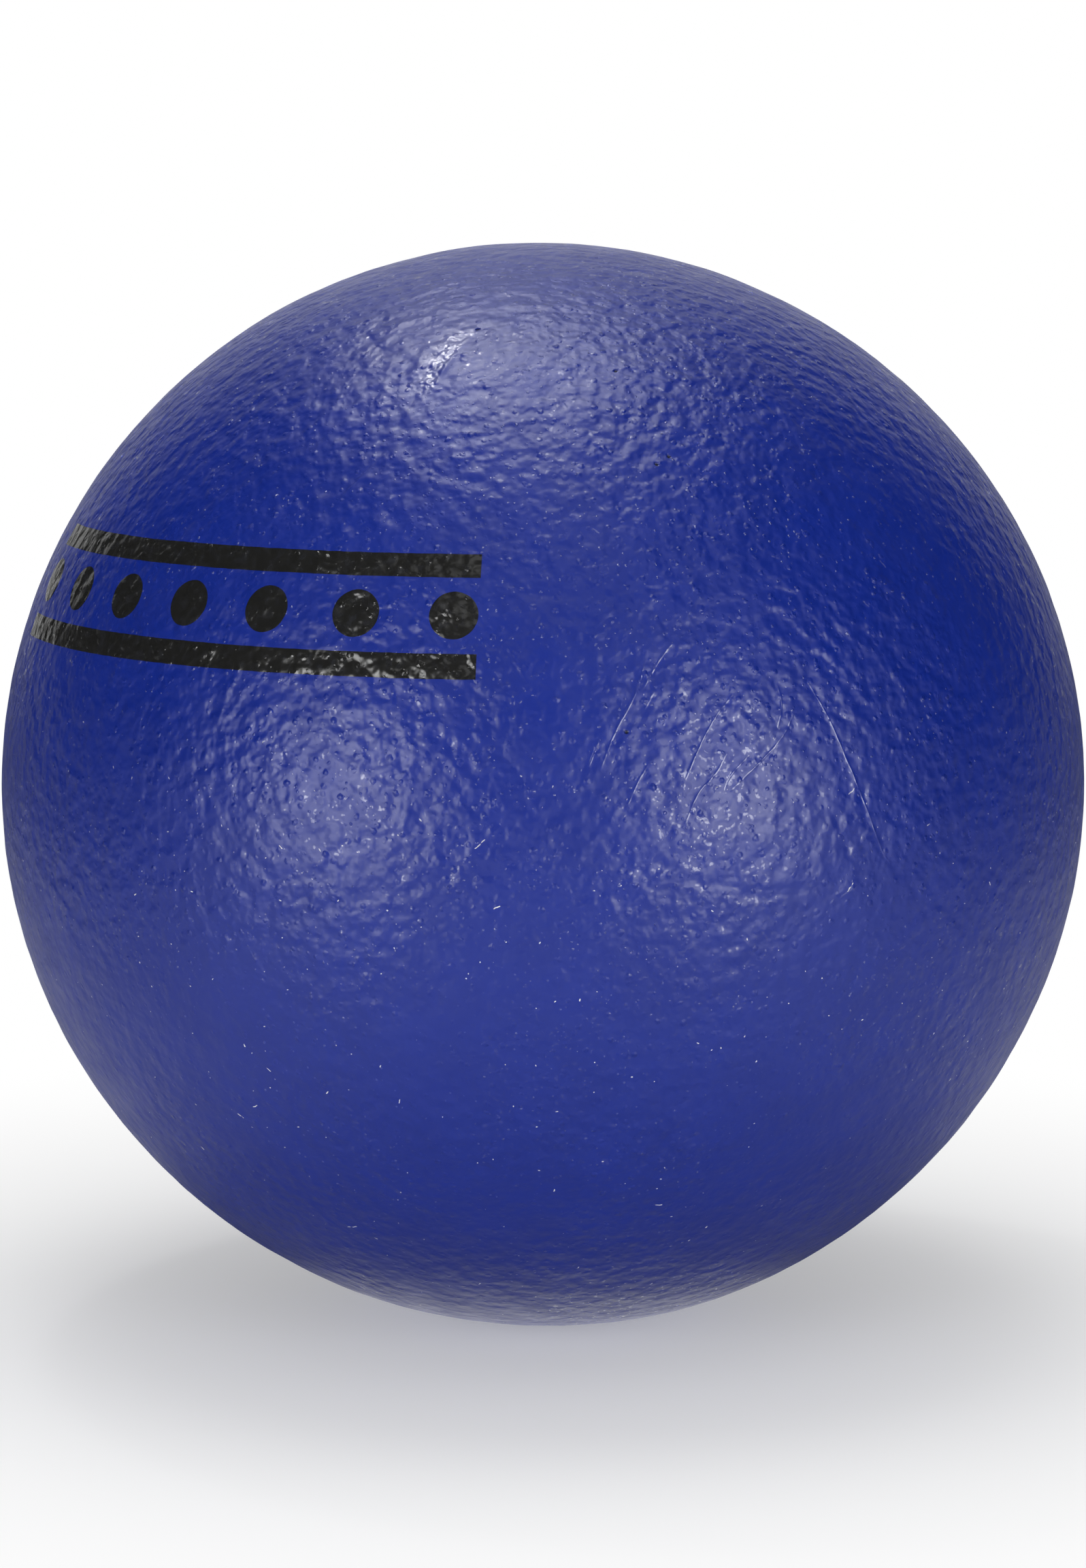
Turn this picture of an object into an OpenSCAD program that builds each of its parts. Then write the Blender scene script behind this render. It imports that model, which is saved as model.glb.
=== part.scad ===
// Soft foam play ball with a seamless coating and a printed band.
// The ball stands on the small flat foot that its own weight presses into it.
// Z points up from the middle of the foot, and the front of the ball faces -Y. Sizes are in millimetres.

/* [Ball] */
// Diameter of the ball over its coating
ball_d = 160; // [120:1:240]
// Depth by which the ball's own weight flattens its foot
foot_depth = 0.6; // [0.4:0.1:2]

/* [Coating] */
// Thickness of the coating on the foam
skin_t = 0.8; // [0.4:0.1:2]

/* [Printed band] */
// Thickness of the ink film
ink_t = 0.1; // [0.06:0.02:0.3]
// Angle of the band's middle above the ball's equator
band_lat = 24; // [-30:1:50]
// Heading of the band's middle about the vertical, with 0 at the front and positive to the right
band_heading = -41; // [-180:1:180]
// Width of the upper and of the lower line
line_w = 3.4; // [1:0.1:5]
// Clear space between the dots and each line
line_gap = 2; // [1:0.1:6]
// Diameter of each dot
dot_d = 6.6; // [3:0.1:10]
// Clear space between two dots
dot_gap = 6.9; // [1:0.1:10]
// Number of dots
dot_count = 7; // [2:1:9]

/* [Hidden] */
$fn = 180;

ball_r = ball_d / 2;
core_r = ball_r - skin_t;
centre_z = ball_r - foot_depth;

band_r = ball_r * cos(band_lat);
dot_step = arc_angle(dot_d + dot_gap, band_r);
band_span = arc_angle(dot_count * dot_d + (dot_count - 1) * dot_gap, band_r);
line_offset = arc_angle((dot_d + line_w) / 2 + line_gap, ball_r);
line_span = arc_angle(line_w, ball_r);

DOT_NODES = [for (i = [1:dot_count]) str("printed_dot_", i)];

// Angle that an arc of the given length takes up on a circle of the given radius
function arc_angle(length, radius) = length / radius * 180 / PI;

// Heading of one dot, counted from the left end of the band
function dot_heading(i) = band_heading + (i - (dot_count + 1) / 2) * dot_step;

// Sphere about the ball's centre, cut off flat at the given height
module flat_footed_sphere(radius, foot_z) {
    intersection() {
        translate([0, 0, centre_z]) sphere(r = radius);
        translate([-ball_d, -ball_d, foot_z]) cube([2 * ball_d, 2 * ball_d, 2 * ball_d]);
    }
}

// Film of ink all over the skin, from which each printed shape is cut
module ink_film() {
    translate([0, 0, centre_z]) difference() {
        sphere(r = ball_r + ink_t);
        sphere(r = ball_r);
    }
}

// Sector along a parallel of the ball: its sides point at the centre and it reaches through the film
module band_sector(lat) {
    reach = 2 * ball_r;
    low = lat - line_span / 2;
    high = lat + line_span / 2;
    translate([0, 0, centre_z])
        rotate([0, 0, band_heading - 90 - band_span / 2])
            rotate_extrude(angle = band_span)
                polygon([[0, 0], reach * [cos(low), sin(low)], reach * [cos(high), sin(high)]]);
}

module foam_core() {
    color("#e6dcc3") flat_footed_sphere(core_r, skin_t);
}

module skin() {
    color("#26348a") difference() {
        flat_footed_sphere(ball_r, 0);
        flat_footed_sphere(core_r, skin_t);
    }
}

module printed_line(lat) {
    color("#1c1c1b") intersection() {
        ink_film();
        band_sector(lat);
    }
}

module printed_dot(i) {
    color("#1c1c1b") intersection() {
        ink_film();
        translate([0, 0, centre_z])
            rotate([0, 90 - band_lat, dot_heading(i) - 90])
                cylinder(d = dot_d, h = ball_d);
    }
}

foam_core();
skin();
printed_line(band_lat + line_offset);  // upper_printed_line
printed_line(band_lat - line_offset);  // lower_printed_line
for (i = [1:dot_count])
    printed_dot(i);
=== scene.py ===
"""Looks of a coated foam ball: its skin, printed band and foam core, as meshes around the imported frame."""
import math
import random

import bpy
import numpy as np
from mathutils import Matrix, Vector, kdtree, noise


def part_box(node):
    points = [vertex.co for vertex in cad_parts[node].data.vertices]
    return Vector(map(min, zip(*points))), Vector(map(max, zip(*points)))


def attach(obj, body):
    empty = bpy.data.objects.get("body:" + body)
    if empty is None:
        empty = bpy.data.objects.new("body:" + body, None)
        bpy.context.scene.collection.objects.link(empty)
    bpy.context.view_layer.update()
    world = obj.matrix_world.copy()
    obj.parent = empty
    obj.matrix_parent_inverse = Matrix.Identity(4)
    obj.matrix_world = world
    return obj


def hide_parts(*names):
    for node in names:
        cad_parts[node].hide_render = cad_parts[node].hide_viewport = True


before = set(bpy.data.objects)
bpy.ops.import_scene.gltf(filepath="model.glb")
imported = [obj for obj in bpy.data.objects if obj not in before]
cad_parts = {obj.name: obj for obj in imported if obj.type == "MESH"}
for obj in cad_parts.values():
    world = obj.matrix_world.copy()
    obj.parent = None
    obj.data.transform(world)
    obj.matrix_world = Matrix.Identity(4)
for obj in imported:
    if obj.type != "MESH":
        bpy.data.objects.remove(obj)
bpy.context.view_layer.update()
SEED = 16
MM = 0.001

# Ball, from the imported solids
SKIN_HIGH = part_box("skin")[1]
CORE_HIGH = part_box("foam_core")[1]
BALL_R = max(SKIN_HIGH.x, SKIN_HIGH.y)
CENTRE = np.array([0, 0, SKIN_HIGH.z - BALL_R])
SKIN_T = SKIN_HIGH.z - CORE_HIGH.z
CORE_R = BALL_R - SKIN_T

# Camera: a 100 mm lens, with the ball as wide in the picture as in the photograph
PHOTO_W, PHOTO_H = 1596, 2305
BALL_RADIUS_PX = 795.5
LENS_MM = 100
SENSOR_MM = 36
CAMERA_TILT = math.radians(8)
CLIP_START, CLIP_END = 0.01, 100
FOCAL_PX = LENS_MM / SENSOR_MM * PHOTO_H
CAMERA_D = BALL_R / math.sin(math.atan(BALL_RADIUS_PX / FOCAL_PX))
TO_CAMERA = np.array([0, -math.cos(CAMERA_TILT), math.sin(CAMERA_TILT)])
CAMERA_UP = np.array([0, math.sin(CAMERA_TILT), math.cos(CAMERA_TILT)])
CAMERA_RIGHT = np.array([1, 0, 0])

# Meshes: cells along a cube's edge, digits that tell points apart, and reaches of finer mesh about features
SKIN_CELLS = 100
INNER_CELLS = 28
CORE_CELLS = 56
WELD_DIGITS = 7
REFINE_REACHES = (1.0 * MM, 0.75 * MM, 0.45 * MM)
FOOT_BLEND = 0.1 * MM

# Texture map of the skin: the gap round each square, and the height above which the inner face lies
MAP_NAME = "OFBake"
MAP_GAP = 0.01
INNER_MAP = 0.88

# Waves in the skin's mesh, as (length, height)
SWELL = (15 * MM, 0.07 * MM)
RIPPLE = (5.5 * MM, 0.045 * MM)
PEBBLE = (2.6 * MM, 0.05 * MM)

# Slow lumps that make the ball a little out of round: (heading, latitude, width) in degrees, and height
LUMPS = [
    (75, -74, 16, 0.45 * MM),
    (-90, -45, 22, -0.28 * MM),
    (90, -30, 22, -0.25 * MM),
    (90, 60, 20, -0.22 * MM),
    (-90, 60, 25, 0.22 * MM),
    (180, 20, 30, -0.25 * MM),
    (140, -35, 25, 0.2 * MM),
    (-140, -10, 22, 0.2 * MM),
]

# Hairline creases, as ridges of uneven height between shallow grooves, at the photograph's pixels
CREASE_WIDTH = 0.25 * MM
CREASE_HEIGHT = 0.045 * MM
CREASE_STEP = 0.12 * MM
LEAST_STEPS = 3
ROUNDINGS = 3
CORNER_CUT = 0.25
WAVER_LENGTH = 2.5 * MM
WAVER_MEAN, WAVER_SWING = 0.8, 0.4
GROOVE_DEPTH, GROOVE_WIDTH = 0.3, 2.4
FRONT_CREASES_PX = [
    [(949, 969), (934, 1023), (903, 1076), (883, 1130)],
    [(990, 944), (970, 967), (949, 1005), (942, 1018)],
    [(962, 1015), (947, 1043)],
    [(954, 1121), (937, 1150), (922, 1184)],
    [(1078, 1019), (1049, 1056), (1023, 1107), (1007, 1148)],
    [(1069, 1107), (1049, 1143), (1026, 1163), (1007, 1212)],
    [(1142, 1005), (1150, 1033), (1143, 1071)],
    [(1167, 1048), (1153, 1082), (1105, 1133), (1074, 1162)],
    [(1187, 1002), (1215, 1048), (1240, 1107), (1258, 1148), (1296, 1253), (1309, 1269)],
    [(880, 1089), (865, 1127)],
    [(1102, 1110), (1072, 1140), (1064, 1163)],
    [(1234, 1320), (1260, 1302)],
    [(570, 663), (532, 700), (495, 737)],
]

# Crisp crests on the creases, finer than the mesh
CREST_WIDTH_MM = 0.2
CREST_HEIGHT_MM = 0.035
CREST_REACH = 0.45 * MM
CREST_FULL = 0.5
CREST_GLOSS = (0.05, 0.2)

# Fold, with a smooth and finely crinkled patch on its left flank
FOLD_PX = [(640, 566), (650, 548), (664, 528), (682, 507)]
FOLD_WIDTH = 0.5 * MM
FOLD_HEIGHT = 0.2 * MM
FLANK_START = 0.4 * MM
SHINY_REACH = 4.4 * MM
SHINY_FULL = 1 / 3
SHINY_RELIEF = 0.65
CRINKLE_LENGTH = 0.7 * MM
CRINKLE_MM = 0.13

# Clusters of creases where the photograph doesn't reach, with spread and lengths as shares of the radius
BACK_CLUSTERS = 7
CREASES_A_CLUSTER = 5
CLUSTER_ACROSS, CLUSTER_ALONG = 0.12, 0.1
BACK_LENGTHS = (0.06, 0.2)
BACK_BEND = 0.03
BACK_LEAN = 0.25
BACK_HEIGHTS = (0.6, 1.1)
BACK_STEPS = (0, 0.35, 0.7, 1)
HIDDEN_FACING = 0.1
HIDDEN_LOWEST = -0.85

# Pinholes, left by bubbles in the coating
PINHOLE_R = 0.32 * MM
PINHOLE_DEPTH = 0.3 * MM
PINHOLE_FULL = 0.5
FRONT_PINHOLES_PX = [(905, 545), (702, 484), (983, 670), (965, 682), (921, 1076)]
BACK_PINHOLES = 34

# Foam core: pores in its mesh, and the gap that keeps it inside the coating
PORE_SPACING = 4 * MM
PORE_DEPTH = 0.5 * MM
PORE_TAPER = 1.6
CORE_GAP = 0.05 * MM

# Print: films with slightly uneven edges, and the share of their thickness at the edge and its rise a cell
INK_T = 0.03 * MM
INK_SINK = 0.04 * MM
INK_EDGE_WAVE = 0.05 * MM
INK_EDGE_LENGTH = 1.6 * MM
INK_EDGE_T, INK_EDGE_RISE = 0.25, 0.5
FILM_CELL = 0.28 * MM
LEAST_CELLS = 8

# Orange peel and bumps of the sprayed skin, finer than the mesh, with heights in millimetres
PEEL_MM, PEEL_LENGTH = 0.12, 0.95 * MM
ROLL_MM, ROLL_LENGTH = 0.34, 2.1 * MM
BEAD_MM, BEAD_R, BEAD_SPACING = 0.15, 0.62 * MM, 1.05 * MM
NIB_MM, NIB_R, NIB_SPACING = 0.11, 0.24 * MM, 0.85 * MM
LEAST_BUMP = 0.45
LOWEST_BUMP = -0.25
FEW_HIGH = 1.8
DRIFT_LENGTH, DRIFT_REACH = 0.45, 0.3

# Coarseness of the skin: patches of it, and its rise from the ball's lower half to its upper half
PATCH_LENGTH = 22 * MM
PATCH_SPAN = (0.35, 0.65)
PATCH_SHARES = (0.8, 1.2)
COARSE_HEIGHTS = (CENTRE[2] - 0.35 * BALL_R, CENTRE[2] + 0.3 * BALL_R)
COARSE_SHARES = (0.82, 1.18)

# Smooth spots in the hazy skin: nib tops, and flecks that are many about one pixel and few elsewhere
NIB_GLOSS = (0.05, 0.3)
FLECKED_PX = (1075, 1195)
FLECKED_SPAN = (10 * MM, 28 * MM)
FLECK_LEASTS = (0.585, 0.645)
FLECK_LENGTH = 0.75 * MM
FLECK_EDGE = 0.04
FLECK_PATCH_LENGTH = 4 * MM
FLECK_PATCH_SPAN = (0.38, 0.56)
SPOTTED_SPAN = (0.68, 0.95)

# Dust: specks and short bent fibres, few of them on the upper half
DUST_SPACING = 2.6 * MM
DUST_BEND_LENGTH, DUST_BEND = 0.9 * MM, 0.5 * MM
FIBRE_LENGTH = 1.0 * MM
FIBRE_R = 0.09 * MM
FIBRE_EDGE = 0.6 * FIBRE_R
MOSTLY_SPECKS = 3.0
DUST_HEIGHTS = (CENTRE[2] - 10 * MM, CENTRE[2] + 30 * MM)
DUST_ABOVE = 0.1

# Coating
BLUE_DEEP = (0.002, 0.0145, 0.191, 1)
BLUE_LIGHT = (0.0023, 0.016, 0.207, 1)
# Lighter blue for the nib tops: partly scuffing, partly a painted highlight where the tops catch light
BLUE_SCUFF_AND_GLINT = (0.06, 0.08, 0.3, 1)
DUST = (0.6, 0.6, 0.62, 1)
# Near-black painted shade laid into the pinholes
PINHOLE_SHADE = (0.004, 0.005, 0.01, 1)
NOISE_SPAN = (0.3, 0.7)
MOTTLE_LENGTH = 9 * MM
SCUFF_AND_GLINT_SPAN = (0.05, 0.5)
SCUFF_AND_GLINT_SHARE = 0.5
HAZE = (0.37, 0.44)
HAZE_LENGTH = 6 * MM
GLOSS = 0.16
COAT = 0.8
SPECULAR = 0.47

# Ink
INK = (0.011, 0.011, 0.0105, 1)
INK_WORN = (0.016, 0.0165, 0.019, 1)
INK_HAZE = 0.21
WEAR_LENGTH = 1.2 * MM
WEAR_SPAN = (0.45, 0.75)

# Foam, with cells finer than its mesh
FOAM = (0.72, 0.62, 0.42, 1)
# Darker colour at the pores' middles: painted shade in the hollows
FOAM_PORE_SHADE = (0.4, 0.32, 0.2, 1)
FOAM_CELL = 1.1 * MM
FOAM_CELL_SPAN = (0.1, 0.5)
FOAM_CELL_MM = 0.3
FOAM_ROUGHNESS = 0.95

# Floor: it glows white away from the ball, and so do its far part and the part under the ball in reflections
FLOOR_R = 8.0
FLOOR_WHITE = (0.93, 0.93, 0.93, 1)
FLOOR_SPAN = (0.0, 0.2)
FLOOR_GLOW = 0.3
SHINE_SPAN = (1.5, 4.0)
UNDER_SPAN = (0.025, 0.045)

# World: an even fill, and white behind the ball about a lifted axis
FILL = 0.02
WORLD_WHITE = (1, 1, 1, 1)
WHITE_LIFT = math.radians(20)
WHITE_SPAN = (0.64, 1.12)

# Soft lamps: (name, pixel that mirrors it, width, height, evenly lit share, radiance), and a weak one behind
LAMP_D = 0.55
LAMPS = [
    ("left_softbox", (497, 1180), 0.44, 0.58, 0.0, 12.0),
    ("right_softbox", (1072, 1170), 0.41, 0.62, 0.0, 12.3),
    ("top_softbox", (780, 560), 0.56, 0.6, 0.4, 4.8),
    ("canopy", (840, 830), 0.8, 0.4, 0.2, 1.0),
    ("spot", (650, 520), 0.08, 0.08, 0.0, 62.0),
]
BACK_FILL_HEADING, BACK_FILL_LATITUDE = 180, 15
BACK_FILL_D = 0.7
BACK_FILL_SIZE = 0.7
BACK_FILL_CORE = 0.3
BACK_FILL_RADIANCE = 4.5


# Directions

def unit(vectors):
    return vectors / np.linalg.norm(vectors, axis=-1, keepdims=True)


def directions_at(headings, latitudes):
    """Unit vectors at latitudes and at headings about the vertical, 0 in front and positive to the right."""
    flat = np.cos(latitudes)
    return np.stack([np.sin(headings) * flat, -np.cos(headings) * flat, np.sin(latitudes)], axis=-1)


def direction(heading, latitude):
    """Unit vector at a heading and a latitude, in degrees."""
    return directions_at(math.radians(heading), math.radians(latitude))


def seen_at(pixel):
    """Direction from the ball's centre to the point that the camera sees at a pixel of the photograph."""
    across = (pixel[0] - PHOTO_W / 2) / FOCAL_PX
    up = (PHOTO_H / 2 - pixel[1]) / FOCAL_PX
    ray = unit(across * CAMERA_RIGHT + up * CAMERA_UP - TO_CAMERA)
    start = CAMERA_D * TO_CAMERA
    along = -ray @ start
    reach = math.sqrt(max(BALL_R ** 2 - (start @ start - along ** 2), 0))
    return unit(start + (along - reach) * ray)


def hidden_direction(draw):
    """A direction on the part of the ball that the photograph doesn't show, clear of the foot."""
    while True:
        way = unit(np.array([draw.gauss(0, 1) for _ in range(3)]))
        if way @ TO_CAMERA < HIDDEN_FACING and way[2] > HIDDEN_LOWEST:
            return way


# Creases and pinholes

def rounded_line(points):
    """A line with its corners cut off again and again, which rounds it."""
    points = np.array(points, float)
    for _ in range(ROUNDINGS):
        here, there = points[:-1], points[1:]
        cuts = [(1 - CORNER_CUT) * here + CORNER_CUT * there, CORNER_CUT * here + (1 - CORNER_CUT) * there]
        points = np.concatenate([points[:1], np.stack(cuts, axis=1).reshape(-1, 3), points[-1:]])
    return points


class Ridge:
    """Points along one raised crease, with its height, half width, way across and crisp crest at each."""

    def __init__(self, directions, height, width, crisp=1.0):
        line = rounded_line(directions) * BALL_R
        lengths = np.concatenate([[0], np.cumsum(np.linalg.norm(np.diff(line, axis=0), axis=1))])
        places = np.linspace(0, lengths[-1], max(int(lengths[-1] / CREASE_STEP), LEAST_STEPS))
        self.points = np.stack([np.interp(places, lengths, line[:, k]) for k in range(3)], axis=1)
        self.points = BALL_R * unit(self.points)
        taper = np.sqrt(np.sin(np.linspace(0, 1, len(places)) * math.pi).clip(0))
        waver = WAVER_MEAN + waves(self.points, (WAVER_LENGTH, WAVER_SWING))
        self.heights = height * taper * waver
        self.widths = np.full(len(places), width)
        self.across = unit(np.cross(self.points, np.gradient(self.points, axis=0)))
        self.crests = crisp * taper * waver


def waves(points, wave):
    """Smooth noise of a given length and height at each point."""
    length, height = wave
    return height * np.array([noise.noise(Vector(point / length)) for point in points])


def back_creases(draw):
    """Clusters of short, nearly parallel creases on the sides that the photograph doesn't show."""
    found = []
    for _ in range(BACK_CLUSTERS):
        middle = hidden_direction(draw)
        along = unit(np.cross(middle, unit(np.array([draw.gauss(0, 1) for _ in range(3)]))))
        across = np.cross(middle, along)
        for _ in range(CREASES_A_CLUSTER):
            start = middle + CLUSTER_ACROSS * draw.uniform(-1, 1) * across
            start = start + CLUSTER_ALONG * draw.uniform(-1, 1) * along
            length = draw.uniform(*BACK_LENGTHS)
            bend = draw.uniform(-BACK_BEND, BACK_BEND)
            lean = draw.uniform(-BACK_LEAN, BACK_LEAN)
            line = [start + length * t * (along + lean * across) + bend * math.sin(t * math.pi) * across
                    for t in BACK_STEPS]
            height = CREASE_HEIGHT * draw.uniform(*BACK_HEIGHTS)
            found.append(Ridge(unit(np.array(line)), height, CREASE_WIDTH))
    return found


def tree_of(points):
    """Search tree that finds the index of the nearest point."""
    tree = kdtree.KDTree(len(points))
    for index, point in enumerate(points):
        tree.insert(point, index)
    tree.balance()
    return tree


def nearest(tree, points):
    """Index of the nearest point in the tree, and its distance, for each point."""
    found = [tree.find(point)[1:] for point in points]
    return np.array([index for index, _ in found]), np.array([distance for _, distance in found])


DRAW = random.Random(SEED)
FOLD = Ridge([seen_at(p) for p in FOLD_PX], FOLD_HEIGHT, FOLD_WIDTH, crisp=0.0)
RIDGES = [Ridge([seen_at(p) for p in line], CREASE_HEIGHT, CREASE_WIDTH) for line in FRONT_CREASES_PX]
RIDGES.append(FOLD)
RIDGES += back_creases(DRAW)
RIDGE_POINTS = np.concatenate([ridge.points for ridge in RIDGES])
RIDGE_HEIGHTS = np.concatenate([ridge.heights for ridge in RIDGES])
RIDGE_WIDTHS = np.concatenate([ridge.widths for ridge in RIDGES])
RIDGE_ACROSS = np.concatenate([ridge.across for ridge in RIDGES])
RIDGE_CRESTS = np.concatenate([ridge.crests for ridge in RIDGES])
RIDGE_TREE = tree_of(RIDGE_POINTS)
PINHOLES = [BALL_R * seen_at(p) for p in FRONT_PINHOLES_PX]
PINHOLES += [BALL_R * hidden_direction(DRAW) for _ in range(BACK_PINHOLES)]
PINHOLE_TREE = tree_of(PINHOLES)


# Relief of the skin

def lumps(directions):
    """Height of the slow lumps in each direction."""
    total = np.zeros(len(directions))
    for heading, latitude, width, height in LUMPS:
        angle = np.degrees(np.arccos(np.clip(directions @ direction(heading, latitude), -1, 1)))
        total += height * np.exp(-(angle / width) ** 2)
    return total


def fade(distance, reach, full):
    """1 within a share of the reach, and falling from there to 0 at the reach."""
    return np.clip((1 - distance / reach) / (1 - full), 0, 1)


def ridge_relief(points):
    """Height of the nearest crease and of the grooves beside it."""
    index, distance = nearest(RIDGE_TREE, points)
    width = RIDGE_WIDTHS[index]
    ridge = np.exp(-(distance / width) ** 2)
    groove = GROOVE_DEPTH * np.exp(-(distance / (GROOVE_WIDTH * width)) ** 2)
    return RIDGE_HEIGHTS[index] * (ridge - groove)


def crest_at(points):
    """Distance across the nearest crease, in millimetres, and the share of its crest, at each point."""
    index, distance = nearest(RIDGE_TREE, points)
    offset = ((points - RIDGE_POINTS[index]) * RIDGE_ACROSS[index]).sum(axis=1) / MM
    return offset, RIDGE_CRESTS[index] * fade(distance, CREST_REACH, CREST_FULL)


def shine_at(points):
    """Share of the smooth patch on the fold's left flank, at each point."""
    index, distance = nearest(tree_of(FOLD.points), points)
    offset = ((points - FOLD.points[index]) * FOLD.across[index]).sum(axis=1)
    return fade(distance, SHINY_REACH, SHINY_FULL) * np.clip(offset / FLANK_START, 0, 1)


def pinhole_depth(points):
    """How far into a pinhole each point lies, from 0 outside to 1 at its bottom."""
    _, distance = nearest(PINHOLE_TREE, points)
    return fade(distance, PINHOLE_R, PINHOLE_FULL)


def near_feature(directions, reach):
    """Whether each direction lies within reach of a crease or a pinhole."""
    points = directions * BALL_R
    return np.minimum(nearest(RIDGE_TREE, points)[1], nearest(PINHOLE_TREE, points)[1]) < reach


def settled(points, floor):
    """Points pressed flat where they would lie under the floor."""
    depth = points[:, 2] - floor
    points[:, 2] = floor + (depth + np.sqrt(depth ** 2 + FOOT_BLEND ** 2)) / 2
    return points


def skin_points(directions, lift=0.0):
    """Points on the skin's outer face, with its lumps, relief, creases and flat foot, raised by lift."""
    round_points = directions * BALL_R
    height = lumps(directions) + ridge_relief(round_points) - PINHOLE_DEPTH * pinhole_depth(round_points)
    for wave in (SWELL, RIPPLE, PEBBLE):
        height += waves(round_points, wave)
    return settled(CENTRE + directions * (BALL_R + height + lift)[:, None], 0)


# Meshes

def cube_sides():
    """The six sides of a cube as (normal, across, up), each a right-handed set."""
    x, y, z = np.eye(3)
    turns = ((x, y, z), (y, z, x), (z, x, y))
    return [(sign * normal, across, sign * up) for normal, across, up in turns for sign in (1, -1)]


def cube_sphere(cells):
    """Unit directions and triangles of a cube blown up to a sphere, and the cube side of each triangle."""
    steps = np.tan(np.linspace(-math.pi / 4, math.pi / 4, cells + 1))
    across, up = (grid.reshape(-1, 1) for grid in np.meshgrid(steps, steps, indexing="ij"))
    first = (np.arange(cells)[:, None] * (cells + 1) + np.arange(cells)).ravel()
    corners = np.stack([first, first + cells + 1, first + cells + 2, first + 1], axis=1)
    halves = np.concatenate([corners[:, [0, 1, 2]], corners[:, [0, 2, 3]]])
    points = np.concatenate([unit(n + across * a + up * b) for n, a, b in cube_sides()])
    triangles = np.concatenate([halves + side * len(across) for side in range(6)])
    rounded = np.round(points, WELD_DIGITS)
    _, kept, merged = np.unique(rounded, axis=0, return_index=True, return_inverse=True)
    return points[kept], merged.ravel()[triangles], np.repeat(np.arange(6), len(halves))


def split_near(points, triangles, sides, reach):
    """Halves each edge whose middle is within reach of a feature, and splits its triangles to match."""
    edges = np.sort(triangles[:, [[1, 2], [2, 0], [0, 1]]], axis=2).reshape(-1, 2)
    keys, edge_of = np.unique(edges[:, 0] * len(points) + edges[:, 1], return_inverse=True)
    edge_of = edge_of.reshape(-1, 3)
    middles = unit(points[keys // len(points)] + points[keys % len(points)])
    marked = near_feature(middles, reach)
    while True:
        split = marked[edge_of]
        half_done = split.sum(axis=1) == 2
        if not half_done.any():
            break
        marked[edge_of[half_done]] = True
    new_index = len(points) + np.cumsum(marked) - 1
    count = split.sum(axis=1)
    whole = triangles[count == 0]
    cut = np.argmax(split[count == 1], axis=1)
    rows = np.arange(len(cut))
    apex, left, right = (triangles[count == 1][rows, (cut + turn) % 3] for turn in range(3))
    middle = new_index[edge_of[count == 1][rows, cut]]
    halves = [np.stack([apex, left, middle], axis=1), np.stack([apex, middle, right], axis=1)]
    a, b, c = triangles[count == 3].T
    bc, ca, ab = new_index[edge_of[count == 3]].T
    quarters = [np.stack(corner, axis=1) for corner in ((a, ab, ca), (ab, b, bc), (ca, bc, c), (ab, bc, ca))]
    owners = [sides[count == 0]] + [sides[count == 1]] * 2 + [sides[count == 3]] * 4
    points = np.concatenate([points, middles[marked]])
    return points, np.concatenate([whole, *halves, *quarters]), np.concatenate(owners)


def cube_map(directions, triangles, sides, low, high):
    """Places of triangles on a texture map: the cube's sides, three across and two up, from low to high."""
    places = np.empty((len(triangles), 3, 2))
    for side, (normal, across, up) in enumerate(cube_sides()):
        own = sides == side
        corners = directions[triangles[own]]
        flat = np.stack([corners @ across, corners @ up], axis=2) / (corners @ normal)[:, :, None]
        square = np.arctan(flat) / (math.pi / 2) + 0.5
        square = MAP_GAP + square * (1 - 2 * MAP_GAP)
        places[own] = (square + [side % 3, side // 3]) / [3, 2]
    places[:, :, 1] = low + places[:, :, 1] * (high - low)
    return places


def sharpen(mesh, pairs):
    """Makes the edges between pairs of points sharp, so that the faces on each side are shaded apart."""
    wanted = {frozenset(pair) for pair in pairs.tolist()}
    for edge in mesh.edges:
        edge.use_edge_sharp = frozenset(edge.vertices) in wanted


# Pieces

def add_piece(name, points, faces, material, slot, *nodes):
    """A smooth mesh object that rides on the ball, stands for CAD nodes and takes a material."""
    mesh = bpy.data.meshes.new(name)
    mesh.from_pydata(np.asarray(points).tolist(), [], np.asarray(faces).tolist())
    mesh.shade_smooth()
    mesh.materials.append(material)
    piece = bpy.data.objects.new(name, mesh)
    bpy.context.scene.collection.objects.link(piece)
    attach(piece, "root")
    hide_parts(*nodes)
    return piece


def make_skin(material):
    """The coating: an outer face with all its relief, and a plain inner face against the foam."""
    outer, outer_faces, sides = cube_sphere(SKIN_CELLS)
    for reach in REFINE_REACHES:
        outer, outer_faces, sides = split_near(outer, outer_faces, sides, reach)
    inner, inner_faces, inner_sides = cube_sphere(INNER_CELLS)
    inner_faces = inner_faces[:, ::-1]
    inner_points = settled(CENTRE + inner * CORE_R, SKIN_T)
    points = np.concatenate([skin_points(outer), inner_points])
    faces = np.concatenate([outer_faces, inner_faces + len(outer)])
    piece = add_piece("ball_skin", points, faces, material, "coating", "skin")
    for name, values in skin_marks(outer * BALL_R).items():
        values = np.concatenate([values, np.zeros(len(inner))])
        piece.data.attributes.new(name, "FLOAT", "POINT").data.foreach_set("value", values)
    outer_map = cube_map(outer, outer_faces, sides, 0.0, INNER_MAP)
    inner_map = cube_map(inner, inner_faces, inner_sides, INNER_MAP, 1.0)
    places = np.concatenate([outer_map, inner_map])
    piece.data.uv_layers.new(name=MAP_NAME).data.foreach_set("uv", places.ravel())
    return piece


def skin_marks(points):
    """Values at the skin's points that its material reads by name."""
    offset, crest = crest_at(points)
    # The pinhole depths are the mask of the painted shade inside the pinholes
    return {"pinhole_shade": pinhole_depth(points), "shine": shine_at(points), "crease_offset": offset, "crest": crest}


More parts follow.
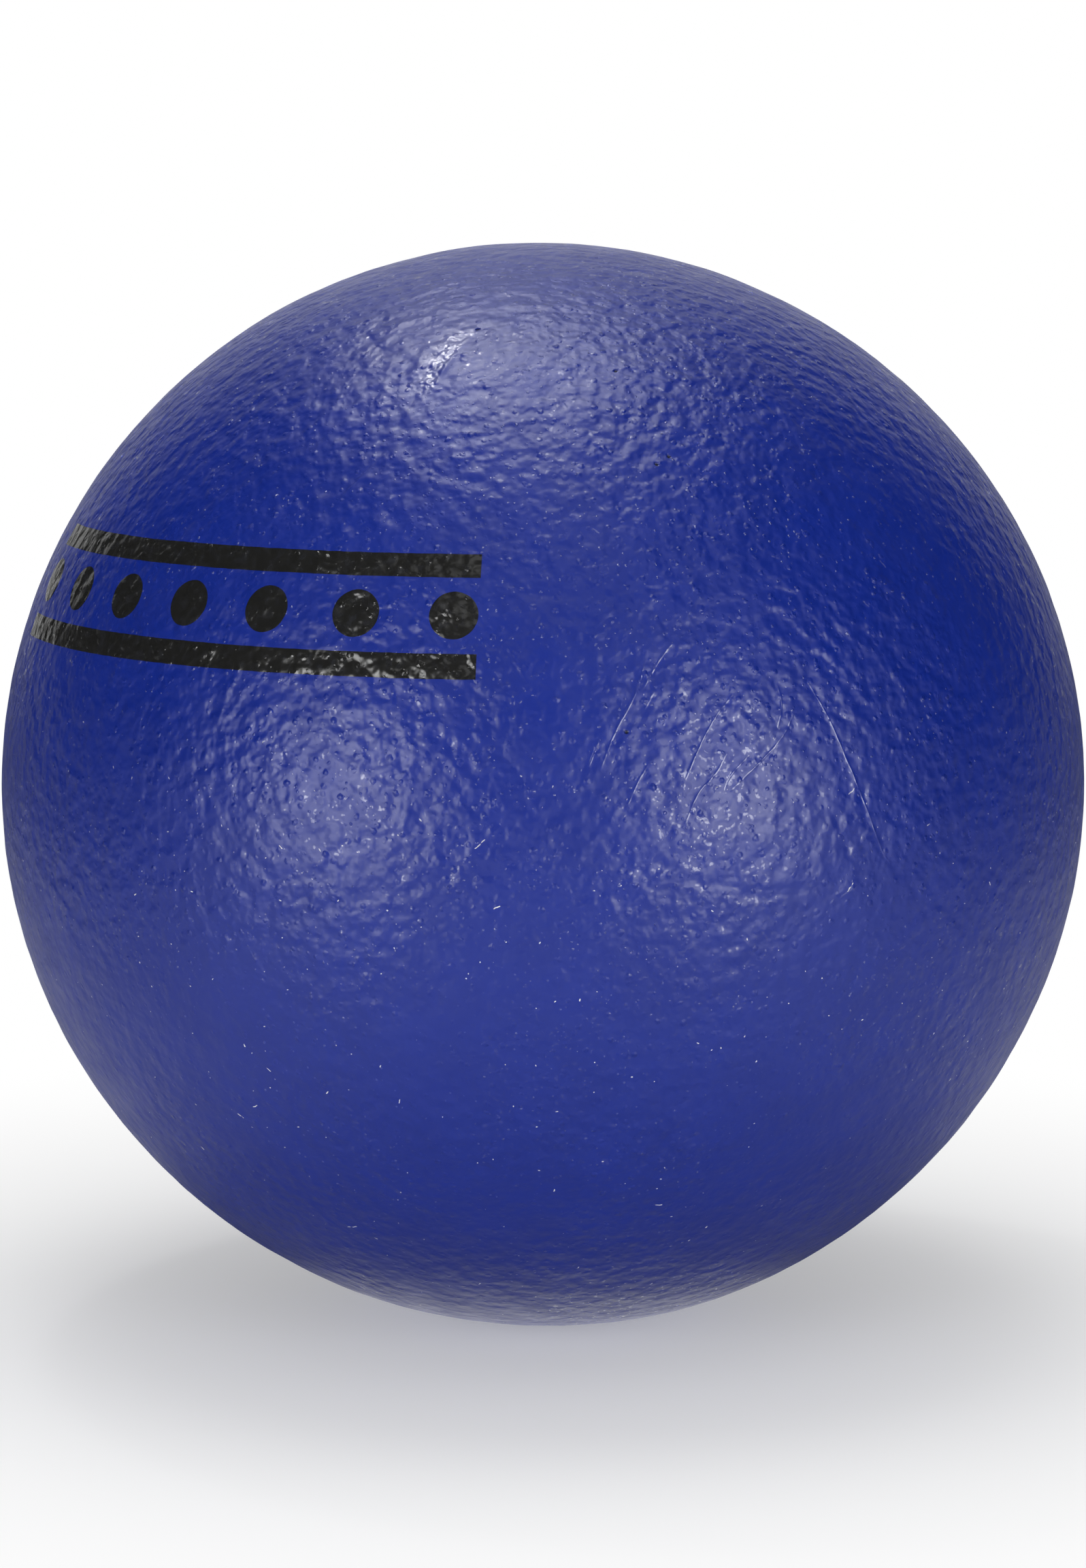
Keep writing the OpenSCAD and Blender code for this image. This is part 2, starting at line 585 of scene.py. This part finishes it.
def make_core(material):
    """The moulded foam ball, with its pores, just inside the coating."""
    directions, faces, _ = cube_sphere(CORE_CELLS)
    pores = np.array([noise.voronoi(Vector(d * CORE_R / PORE_SPACING))[0][0] for d in directions])
    depth = CORE_GAP + PORE_DEPTH * np.clip(1 - PORE_TAPER * pores, 0, 1)
    points = settled(CENTRE + directions * (CORE_R - depth)[:, None], SKIN_T + CORE_GAP)
    piece = add_piece("foam_core_ball", points, faces, material, "foam", "foam_core")
    return piece


def steps_from_end(count):
    """Number of steps from each of count places in a row to the nearer end."""
    places = np.arange(count)
    return np.minimum(places, places[::-1])


def make_film(node, directions, material):
    """One film of ink, from a grid of directions over it: a closed skin that thins out at its edge."""
    rows, columns = directions.shape[:2]
    edge = np.minimum.outer(steps_from_end(rows), steps_from_end(columns))
    lift = INK_T * np.clip(INK_EDGE_T + INK_EDGE_RISE * edge, 0, 1).ravel()
    flat = directions.reshape(-1, 3)
    top = skin_points(flat, lift)
    bottom = skin_points(flat, -INK_SINK)
    index = np.arange(rows * columns).reshape(rows, columns)
    quads = np.stack([index[:-1, :-1], index[1:, :-1], index[1:, 1:], index[:-1, 1:]], axis=2).reshape(-1, 4)
    rim = np.concatenate([index[0, :-1], index[:-1, -1], index[-1, :0:-1], index[:0:-1, 0]])
    after = np.roll(rim, -1)
    walls = np.stack([rim, after, after + rows * columns, rim + rows * columns], axis=1)
    faces = np.concatenate([quads, quads[:, ::-1] + rows * columns, walls])
    piece = add_piece("ink_" + node, np.concatenate([top, bottom]), faces, material, "ink", node)
    sharpen(piece.data, np.stack([rim, after], axis=1))
    return piece


def cad_directions(node):
    """Directions from the ball's centre to a CAD node's points."""
    points = np.array([v.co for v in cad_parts[node].data.vertices])
    return unit(points - CENTRE)


def edge_wave(directions):
    """A small unevenness of a printed edge, as an angle, over a grid of directions."""
    wave = waves(directions.reshape(-1, 3) * BALL_R, (INK_EDGE_LENGTH, INK_EDGE_WAVE / BALL_R))
    return wave.reshape(directions.shape[:2])


def make_dot(node, material):
    """A printed dot, over the CAD node's own round outline, as a square grid that is squeezed to a disc."""
    around = cad_directions(node)
    middle = unit((around.min(axis=0) + around.max(axis=0)) / 2)
    radius = np.arccos(np.clip(around @ middle, -1, 1)).max()
    across = unit(np.cross(middle, [0, 0, 1]))
    up = np.cross(across, middle)
    cells = max(int(2 * radius * BALL_R / FILM_CELL), LEAST_CELLS)
    u, v = np.meshgrid(np.linspace(-1, 1, cells + 1), np.linspace(-1, 1, cells + 1), indexing="ij")
    x = (u * np.sqrt(1 - v ** 2 / 2))[:, :, None] * radius
    y = (v * np.sqrt(1 - u ** 2 / 2))[:, :, None] * radius
    offset = x * across + y * up
    wobble = 1 + edge_wave(unit(middle + offset))[:, :, None] / radius
    return make_film(node, unit(middle + wobble * offset), material)


def make_line(node, material):
    """A printed line, over the CAD node's own span of headings and latitudes."""
    around = cad_directions(node)
    latitudes = np.arcsin(around[:, 2])
    headings = np.arctan2(around[:, 0], -around[:, 1])
    low, high = latitudes.min(), latitudes.max()
    left, right = headings.min(), headings.max()
    long_cells = int((right - left) * BALL_R * math.cos((low + high) / 2) / FILM_CELL)
    wide_cells = int((high - low) * BALL_R / FILM_CELL)
    heading, latitude = np.meshgrid(np.linspace(left, right, long_cells + 1),
                                    np.linspace(low, high, wide_cells + 1), indexing="ij")
    side = (2 * latitude - low - high) / (high - low)
    latitude += side * edge_wave(directions_at(heading, latitude))
    return make_film(node, directions_at(heading, latitude), material)


def make_print(material):
    """All films of ink, one over each printed CAD node."""
    films = []
    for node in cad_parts:
        if node.startswith("printed_dot"):
            films.append(make_dot(node, material))
        elif node.endswith("printed_line"):
            films.append(make_line(node, material))
    return films


# Node trees

class Nodes:
    """A short way to write a node tree: each call makes a node, sets its inputs and returns an output."""

    def __init__(self, tree):
        self.tree = tree
        self.tree.nodes.clear()

    def add(self, kind, inputs=(), output=0, **settings):
        """A node of a kind, whose inputs are linked to sockets or set to plain values."""
        made = self.tree.nodes.new(kind)
        for name, value in settings.items():
            setattr(made, name, value)
        for key, value in dict(inputs).items():
            if isinstance(value, bpy.types.NodeSocket):
                self.tree.links.new(value, made.inputs[key])
            else:
                made.inputs[key].default_value = value
        return made.outputs[output]

    def end(self, kind, surface):
        """The end of the tree, which shows the surface."""
        end = self.tree.nodes.new(kind)
        self.tree.links.new(surface, end.inputs["Surface"])

    def place(self):
        """Place in the object's own frame, in metres."""
        return self.add("ShaderNodeTexCoord", output="Object")

    def height(self, place):
        return self.add("ShaderNodeSeparateXYZ", {0: place}, output="Z")

    def attribute(self, name):
        return self.add("ShaderNodeAttribute", output="Fac", attribute_name=name)

    def math(self, operation, first, second=0.0, clamp=False):
        return self.add("ShaderNodeMath", {0: first, 1: second}, operation=operation, use_clamp=clamp)

    def multiply_add(self, value, factor, addend):
        return self.add("ShaderNodeMath", {0: value, 1: factor, 2: addend}, operation="MULTIPLY_ADD")

    def vector(self, operation, *inputs, output="Vector"):
        return self.add("ShaderNodeVectorMath", dict(enumerate(inputs)), output, operation=operation)

    def ramp(self, value, low, high, to_low=0.0, to_high=1.0):
        """A smooth step of a value from one range to another."""
        inputs = {"Value": value, "From Min": low, "From Max": high, "To Min": to_low, "To Max": to_high}
        return self.add("ShaderNodeMapRange", inputs, interpolation_type="SMOOTHSTEP")

    def mix(self, factor, first, second):
        """A colour between two colours."""
        inputs = {"Factor": factor, 6: first, 7: second}
        return self.add("ShaderNodeMix", inputs, output=2, data_type="RGBA")

    def noise(self, place, length, detail, output=0):
        inputs = {"Vector": place, "Scale": 1 / length, "Detail": detail}
        return self.add("ShaderNodeTexNoise", inputs, output)

    def spots(self, place, spacing):
        """Outputs for the nearest of random spots: Distance, in units of the spacing, Color and Position."""
        return self.add("ShaderNodeTexVoronoi", {"Vector": place, "Scale": 1 / spacing}).node.outputs

    def colour_parts(self, colour):
        return self.add("ShaderNodeSeparateColor", {0: colour}).node.outputs

    def bumped(self, height_mm):
        """Normal of a surface with bumps of a height in millimetres."""
        return self.add("ShaderNodeBump", {"Strength": 1.0, "Distance": MM, "Height": height_mm})


def ray_kinds(nodes):
    """Whether a ray comes from the camera, straight or through glass, and whether it is a reflection."""
    path = nodes.add("ShaderNodeLightPath").node.outputs
    seen = nodes.math("MAXIMUM", path["Is Camera Ray"], path["Is Transmission Ray"])
    return seen, path["Is Glossy Ray"]


def new_material(name):
    """A new material and its node tree, still empty."""
    material = bpy.data.materials.new(name)
    material.use_nodes = True
    return material, Nodes(material.node_tree)


def set_surface(nodes, inputs):
    """Ends a material with a surface that has the given inputs."""
    nodes.end("ShaderNodeOutputMaterial", nodes.add("ShaderNodeBsdfPrincipled", inputs))


# Details of the skin

def wandering(nodes, place, length, reach):
    """Place shifted a little by noise, which makes round spots uneven."""
    drift = nodes.noise(place, length, detail=1.0, output="Color")
    return nodes.vector("MULTIPLY_ADD", drift, (reach, reach, reach), place)


def coarseness(nodes, place):
    """Share of the skin's full coarseness: it changes in patches and is lower on the ball's lower half."""
    patch = nodes.ramp(nodes.noise(place, PATCH_LENGTH, detail=1.0), *PATCH_SPAN, *PATCH_SHARES)
    return nodes.math("MULTIPLY", patch, nodes.ramp(nodes.height(place), *COARSE_HEIGHTS, *COARSE_SHARES))


def dome(nodes, distance, radius):
    """Height of a round dome at a distance from its middle: 1 there and 0 at its edge and beyond."""
    share = nodes.math("DIVIDE", distance, radius)
    cap = nodes.math("SUBTRACT", 1.0, nodes.math("MULTIPLY", share, share), clamp=True)
    return nodes.math("MULTIPLY", cap, cap)


def bumps_at(nodes, place, spacing, radius):
    """Many low bumps and few high ones: the share of the way up each, and the share of the full height."""
    spot = nodes.spots(wandering(nodes, place, DRIFT_LENGTH * spacing, DRIFT_REACH * spacing), spacing)
    lucks = nodes.colour_parts(spot["Color"])
    size = nodes.ramp(lucks[0], 0.0, 1.0, LEAST_BUMP, 1.0)
    top = dome(nodes, spot["Distance"], nodes.math("MULTIPLY", size, radius / spacing))
    height = nodes.multiply_add(nodes.math("POWER", lucks[1], FEW_HIGH), 1 - LOWEST_BUMP, LOWEST_BUMP)
    return top, nodes.math("MULTIPLY", top, nodes.math("MULTIPLY", size, height))


def bald_spots(nodes, place):
    """Smooth spots in the hazy skin: the tops of the nibs, and uneven flecks in patches."""
    nibs, _ = bumps_at(nodes, place, NIB_SPACING, NIB_R)
    tops = nodes.ramp(nibs, *NIB_GLOSS)
    middle = tuple(CENTRE + BALL_R * seen_at(FLECKED_PX))
    away = nodes.vector("DISTANCE", place, middle, output="Value")
    least = nodes.ramp(away, *FLECKED_SPAN, *FLECK_LEASTS)
    grain = nodes.math("SUBTRACT", nodes.noise(place, FLECK_LENGTH, detail=1.5), least)
    flecks = nodes.ramp(grain, 0.0, FLECK_EDGE)
    patches = nodes.ramp(nodes.noise(place, FLECK_PATCH_LENGTH, detail=1.0), *FLECK_PATCH_SPAN)
    smooth = nodes.math("MAXIMUM", tops, nodes.math("MULTIPLY", flecks, patches))
    return nodes.math("MULTIPLY", smooth, nodes.ramp(coarseness(nodes, place), *SPOTTED_SPAN))


def crest_share(nodes):
    """How near each point is to the crisp crest of a crease, from 0 to 1."""
    across = dome(nodes, nodes.attribute("crease_offset"), CREST_WIDTH_MM)
    return nodes.math("MULTIPLY", across, nodes.attribute("crest"))


def dust_at(nodes, place):
    """Specks and short fibres of dust, mostly on the lower half: 1 on them and 0 elsewhere."""
    bent = wandering(nodes, place, DUST_BEND_LENGTH, DUST_BEND)
    cell = nodes.spots(bent, DUST_SPACING)
    offset = nodes.vector("SUBTRACT", bent, cell["Position"])
    lean = nodes.vector("SUBTRACT", cell["Color"], (0.5, 0.5, 0.5))
    way = nodes.vector("NORMALIZE", lean)
    along = nodes.vector("DOT_PRODUCT", offset, way, output="Value")
    on_axis = nodes.add("ShaderNodeVectorMath", {0: way, "Scale": along}, operation="SCALE")
    aside = nodes.vector("DISTANCE", offset, on_axis, output="Value")
    luck = nodes.colour_parts(cell["Color"])[0]
    reach = nodes.math("MULTIPLY", nodes.math("POWER", luck, MOSTLY_SPECKS), FIBRE_LENGTH)
    beyond = nodes.math("SUBTRACT", nodes.math("ABSOLUTE", along), reach)
    thin = nodes.ramp(aside, FIBRE_EDGE, FIBRE_R, 1.0, 0.0)
    short = nodes.ramp(beyond, FIBRE_EDGE, FIBRE_R, 1.0, 0.0)
    low = nodes.ramp(nodes.height(place), *DUST_HEIGHTS, 1.0, DUST_ABOVE)
    return nodes.math("MULTIPLY", nodes.math("MULTIPLY", thin, short), low)


def skin_height(nodes, place):
    """Height of the sprayed skin's orange peel and bumps, in millimetres, about a mean near zero."""
    layers = [
        (nodes.noise(place, PEEL_LENGTH, detail=0.3), PEEL_MM),
        (nodes.noise(place, ROLL_LENGTH, detail=0.0), ROLL_MM),
        (bumps_at(nodes, place, BEAD_SPACING, BEAD_R)[1], BEAD_MM),
        (bumps_at(nodes, place, NIB_SPACING, NIB_R)[1], NIB_MM),
    ]
    total = -(PEEL_MM + ROLL_MM) / 2
    for layer, height in layers:
        total = nodes.multiply_add(layer, height, total)
    return nodes.math("MULTIPLY", total, coarseness(nodes, place))


# Materials

def coating_colour(nodes, place):
    """Faintly mottled blue, with dust, nib tops made lighter for scuffing and as painted highlights, and
    painted shade darkening the pinholes.
    """
    mottle = nodes.noise(place, MOTTLE_LENGTH, detail=4.0)
    blue = nodes.mix(nodes.ramp(mottle, *NOISE_SPAN), BLUE_DEEP, BLUE_LIGHT)
    _, tops = bumps_at(nodes, place, NIB_SPACING, NIB_R)
    # Painted highlight and scuffing: the nib tops are mixed towards a lighter blue by their height
    blue = nodes.mix(nodes.ramp(tops, *SCUFF_AND_GLINT_SPAN, 0.0, SCUFF_AND_GLINT_SHARE), blue, BLUE_SCUFF_AND_GLINT)
    blue = nodes.mix(dust_at(nodes, place), blue, DUST)
    # Painted shade: each pinhole is darkened by its depth
    return nodes.mix(nodes.attribute("pinhole_shade"), blue, PINHOLE_SHADE)


def coating_height(nodes, place, shine, crest):
    """Height of the skin's bumps and crease crests, in millimetres, calmer and crinkled where it shines."""
    calm = nodes.math("MULTIPLY", skin_height(nodes, place), nodes.ramp(shine, 0.0, 1.0, 1.0, SHINY_RELIEF))
    crested = nodes.multiply_add(crest, CREST_HEIGHT_MM, calm)
    crinkle = nodes.math("SUBTRACT", nodes.noise(place, CRINKLE_LENGTH, detail=0.0), 0.5)
    return nodes.multiply_add(nodes.math("MULTIPLY", crinkle, shine), CRINKLE_MM, crested)


def coating_material():
    """Blue polyurethane skin: hazy, with a gloss on its smooth spots, crease crests and shiny patch."""
    material, nodes = new_material("blue_coating")
    place = nodes.place()
    shine = nodes.attribute("shine")
    crest = crest_share(nodes)
    bare = nodes.math("ADD", shine, nodes.ramp(crest, *CREST_GLOSS), clamp=True)
    smooth = nodes.math("MAXIMUM", bald_spots(nodes, place), bare)
    relief = nodes.bumped(coating_height(nodes, place, shine, crest))
    haze = nodes.noise(place, HAZE_LENGTH, detail=3.0)
    set_surface(nodes, {
        "Base Color": coating_colour(nodes, place),
        "Roughness": nodes.ramp(haze, *NOISE_SPAN, *HAZE),
        "Specular IOR Level": SPECULAR,
        "Normal": relief,
        "Coat Weight": nodes.math("MULTIPLY", smooth, COAT),
        "Coat Roughness": GLOSS,
        "Coat Normal": relief,
    })
    return material


def ink_material():
    """Black satin ink that follows the skin's orange peel."""
    material, nodes = new_material("black_ink")
    place = nodes.place()
    wear = nodes.ramp(nodes.noise(place, WEAR_LENGTH, detail=4.0), *WEAR_SPAN)
    set_surface(nodes, {
        "Base Color": nodes.mix(wear, INK, INK_WORN),
        "Roughness": nodes.ramp(bald_spots(nodes, place), 0.0, 1.0, INK_HAZE, GLOSS),
        "Normal": nodes.bumped(skin_height(nodes, place)),
    })
    return material


def foam_material():
    """Cream foam with fine open pores, darkened with painted shade towards their sunken middles."""
    material, nodes = new_material("cream_foam")
    pores = nodes.spots(nodes.place(), FOAM_CELL)["Distance"]
    set_surface(nodes, {
        # Painted shade: the colour darkens towards each pore's sunken middle
        "Base Color": nodes.mix(nodes.ramp(pores, *FOAM_CELL_SPAN), FOAM_PORE_SHADE, FOAM),
        "Roughness": FOAM_ROUGHNESS,
        "Normal": nodes.bumped(nodes.math("MULTIPLY", pores, FOAM_CELL_MM)),
    })
    return material


def floor_material():
    """White floor that takes the ball's shadow and fades to plain white far away."""
    material, nodes = new_material("white_floor")
    away = nodes.vector("LENGTH", nodes.place(), output="Value")
    seen, mirrored = ray_kinds(nodes)
    seen_white = nodes.math("MULTIPLY", nodes.ramp(away, *FLOOR_SPAN, FLOOR_GLOW, 1.0), seen)
    under = nodes.ramp(away, *UNDER_SPAN, 1.0, 0.0)
    shine = nodes.math("MAXIMUM", under, nodes.ramp(away, *SHINE_SPAN))
    white = nodes.math("MAXIMUM", seen_white, nodes.math("MULTIPLY", shine, mirrored))
    paint = nodes.add("ShaderNodeBsdfDiffuse", {"Color": FLOOR_WHITE})
    glow = nodes.add("ShaderNodeEmission", {"Strength": 1.0})
    nodes.end("ShaderNodeOutputMaterial", nodes.add("ShaderNodeMixShader", {0: white, 1: paint, 2: glow}))
    return material


# Studio

def make_floor():
    """A plain floor under the ball, which isn't part of it."""
    mesh = bpy.data.meshes.new("floor")
    corners = [(x * FLOOR_R, y * FLOOR_R, 0) for x, y in ((-1, -1), (1, -1), (1, 1), (-1, 1))]
    mesh.from_pydata(corners, [], [(0, 1, 2, 3)])
    mesh.materials.append(floor_material())
    floor = bpy.data.objects.new("floor", mesh)
    bpy.context.scene.collection.objects.link(floor)


def make_world():
    """White surroundings behind the ball and dim ones on the camera's side, with an even fill."""
    world = bpy.data.worlds.new("studio")
    world.use_nodes = True
    bpy.context.scene.world = world
    nodes = Nodes(world.node_tree)
    way = nodes.add("ShaderNodeTexCoord", output="Generated")
    axis = (0, math.cos(WHITE_LIFT), math.sin(WHITE_LIFT))
    back = nodes.vector("DOT_PRODUCT", way, axis, output="Value")
    seen, mirrored = ray_kinds(nodes)
    white = nodes.math("MAXIMUM", seen, nodes.math("MULTIPLY", mirrored, nodes.ramp(back, *WHITE_SPAN)))
    strength = nodes.math("MAXIMUM", white, FILL)
    surface = nodes.add("ShaderNodeBackground", {"Color": WORLD_WHITE, "Strength": strength})
    nodes.end("ShaderNodeOutputWorld", surface)


def soften(light, core):
    """Makes a lamp glow evenly over the core of its half width and fade to nothing at its rim."""
    light.use_nodes = True
    nodes = Nodes(light.node_tree)
    share = nodes.vector("MULTIPLY", nodes.place(), (2 / light.size, 2 / light.size_y, 0))
    away = nodes.vector("LENGTH", share, output="Value")
    surface = nodes.add("ShaderNodeEmission", {"Strength": nodes.ramp(away, core, 1.0, 1.0, 0.0)})
    nodes.end("ShaderNodeOutputLight", surface)


def add_lamp(name, place, way, width, height, core, radiance):
    """A rectangular soft light at a place, turned back along the way that leads there."""
    light = bpy.data.lights.new(name, "AREA")
    light.shape = "RECTANGLE"
    light.size, light.size_y = width, height
    light.energy = radiance * math.pi * width * height
    soften(light, core)
    lamp = bpy.data.objects.new(name, light)
    lamp.location = place
    lamp.rotation_mode = "QUATERNION"
    lamp.rotation_quaternion = Vector(way).to_track_quat("Z", "Y")
    lamp.visible_camera = False
    bpy.context.scene.collection.objects.link(lamp)
    return lamp


def softbox(name, pixel, width, height, core, radiance):
    """A rectangular soft light that a smooth ball would mirror at a pixel of the photograph."""
    normal = seen_at(pixel)
    point = CENTRE + BALL_R * normal
    view = unit(CENTRE + CAMERA_D * TO_CAMERA - point)
    way = 2 * (view @ normal) * normal - view
    add_lamp(name, point + way * LAMP_D, way, width, height, core, radiance)


def back_fill(pieces):
    """A weak soft light behind the ball, which lights the ball alone and leaves no highlight on it."""
    way = direction(BACK_FILL_HEADING, BACK_FILL_LATITUDE)
    shape = (BACK_FILL_SIZE, BACK_FILL_SIZE, BACK_FILL_CORE)
    lamp = add_lamp("back_fill", CENTRE + BACK_FILL_D * way, way, *shape, BACK_FILL_RADIANCE)
    lamp.visible_glossy = False
    lit = bpy.data.collections.new("lit_by_back_fill")
    for piece in pieces:
        lit.objects.link(piece)
    lamp.light_linking.receiver_collection = lit


def make_camera():
    """The photograph's own view of the ball."""
    data = bpy.data.cameras.new("camera")
    data.lens, data.sensor_width = LENS_MM, SENSOR_MM
    data.clip_start, data.clip_end = CLIP_START, CLIP_END
    camera = bpy.data.objects.new("camera", data)
    camera.location = CENTRE + TO_CAMERA * CAMERA_D
    camera.rotation_mode = "QUATERNION"
    camera.rotation_quaternion = Vector(TO_CAMERA).to_track_quat("Z", "Y")
    bpy.context.scene.collection.objects.link(camera)
    bpy.context.scene.camera = camera


make_camera()
pieces = [make_skin(coating_material()), make_core(foam_material()), *make_print(ink_material())]
make_floor()
make_world()
for lamp in LAMPS:
    softbox(*lamp)
back_fill(pieces)
bpy.context.scene.view_settings.view_transform = "Standard"
